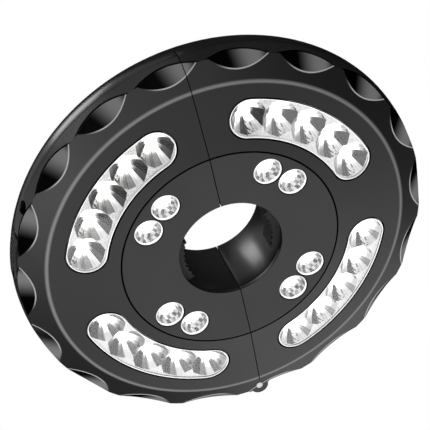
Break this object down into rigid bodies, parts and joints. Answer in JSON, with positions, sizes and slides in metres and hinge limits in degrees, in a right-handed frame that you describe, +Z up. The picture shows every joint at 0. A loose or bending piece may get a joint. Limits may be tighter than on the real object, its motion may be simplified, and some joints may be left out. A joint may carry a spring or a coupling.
{
  "type": "umbrella light",
  "caption": "Cordless ring light in two hinged half rings that clip round an umbrella pole, with curved windows and round spots of light facing down.",
  "frame": {"origin": "on the pole's axis, at the middle height of the jaw pads", "axes": "+Z up along the pole, the light face looks down; the split lies in the plane x = 0, opens at -Y and is hinged at +Y"},
  "size_m": [0.189, 0.1897, 0.0345],
  "materials": {
    "face_plastic": "fine matt charcoal plastic",
    "panel_plastic": "fine matt charcoal plastic",
    "gloss_shell": "glossy black plastic",
    "clear_lens": "clear moulded plastic with a frosted rim",
    "plated_reflector": "bright plated facets",
    "white_board": "white circuit board",
    "green_board": "green circuit board",
    "led_dome": "clear dome over a lit diode",
    "inner_plastic": "plain moulded plastic",
    "slider_plastic": "matt ribbed plastic",
    "pad_rubber": "soft black rubber",
    "spring_steel": "plated steel",
    "cell_jacket": "plain printed jacket",
    "wire_cover": "soft insulation"
  },
  "bodies": {
    "left_half": {"housing_left": "face_plastic", "center_panel_left": "panel_plastic", "top_cover_left": "gloss_shell", "arc_lens_left_front": "clear_lens", "arc_lens_left_rear": "clear_lens", "arc_reflector_left_front": "plated_reflector", "arc_reflector_left_rear": "plated_reflector", "spot_lenses_left": "clear_lens", "spot_reflectors_left": "plated_reflector", "led_board_left": "white_board", "arc_leds_left": "led_dome", "spot_leds_left": "led_dome", "jaw_springs_left": "spring_steel", "jaw_guide_left": "inner_plastic", "battery_tray_left": "inner_plastic", "battery_cells_left": "cell_jacket", "contact_springs_left": "spring_steel", "contact_plates_left": "spring_steel", "case_screws_left": "spring_steel", "board_screws_left": "spring_steel", "wires_left": "wire_cover", "link_wire": "wire_cover", "switch_frame": "inner_plastic", "slide_switch": "inner_plastic", "control_board": "green_board", "power_jack": "inner_plastic", "hinge_pin": "spring_steel", "torsion_spring": "spring_steel"},
    "right_half": {"housing_right": "face_plastic", "center_panel_right": "panel_plastic", "top_cover_right": "gloss_shell", "arc_lens_right_front": "clear_lens", "arc_lens_right_rear": "clear_lens", "arc_reflector_right_front": "plated_reflector", "arc_reflector_right_rear": "plated_reflector", "spot_lenses_right": "clear_lens", "spot_reflectors_right": "plated_reflector", "led_board_right": "white_board", "arc_leds_right": "led_dome", "spot_leds_right": "led_dome", "jaw_springs_right": "spring_steel", "jaw_guide_right": "inner_plastic", "battery_tray_right": "inner_plastic", "battery_cells_right": "cell_jacket", "contact_springs_right": "spring_steel", "contact_plates_right": "spring_steel", "case_screws_right": "spring_steel", "board_screws_right": "spring_steel", "wires_right": "wire_cover"},
    "jaw_left": {"jaw_left": "inner_plastic", "jaw_pad_left": "pad_rubber"},
    "jaw_right": {"jaw_right": "inner_plastic", "jaw_pad_right": "pad_rubber"},
    "mode_slider": {"mode_slider": "slider_plastic"},
    "door_left": {"battery_door_left": "gloss_shell"},
    "door_right": {"battery_door_right": "gloss_shell"}
  },
  "joints": [
    {"name": "clam_hinge", "type": "hinge", "parent": "left_half", "child": "right_half", "pos_m": [0, 0.091, 0], "axis": [0, 0, 1], "range_deg": [0, 60], "stiffness_Nm_per_rad": 0.05, "springref_deg": -20.05, "deforming": ["link_wire", "torsion_spring"]},
    {"name": "jaw_slide_left", "type": "slide", "parent": "left_half", "child": "jaw_left", "axis": [-1, 0, 0], "range_m": [-0.009, 0.0024], "stiffness_N_per_m": 150, "deforming": ["jaw_springs_left"]},
    {"name": "jaw_slide_right", "type": "slide", "parent": "right_half", "child": "jaw_right", "axis": [1, 0, 0], "range_m": [-0.009, 0.0024], "stiffness_N_per_m": 150, "deforming": ["jaw_springs_right"]},
    {"name": "mode_slide", "type": "hinge", "parent": "left_half", "child": "mode_slider", "pos_m": [0, 0, 0], "axis": [0, 0, 1], "range_deg": [-2.42, 0]},
    {"name": "door_hinge_left", "type": "hinge", "parent": "left_half", "child": "door_left", "pos_m": [-0.0299, 0, 0.02455], "axis": [0, 1, 0], "range_deg": [0, 95]},
    {"name": "door_hinge_right", "type": "hinge", "parent": "right_half", "child": "door_right", "pos_m": [0.0299, 0, 0.02455], "axis": [0, -1, 0], "range_deg": [0, 95]}
  ]
}
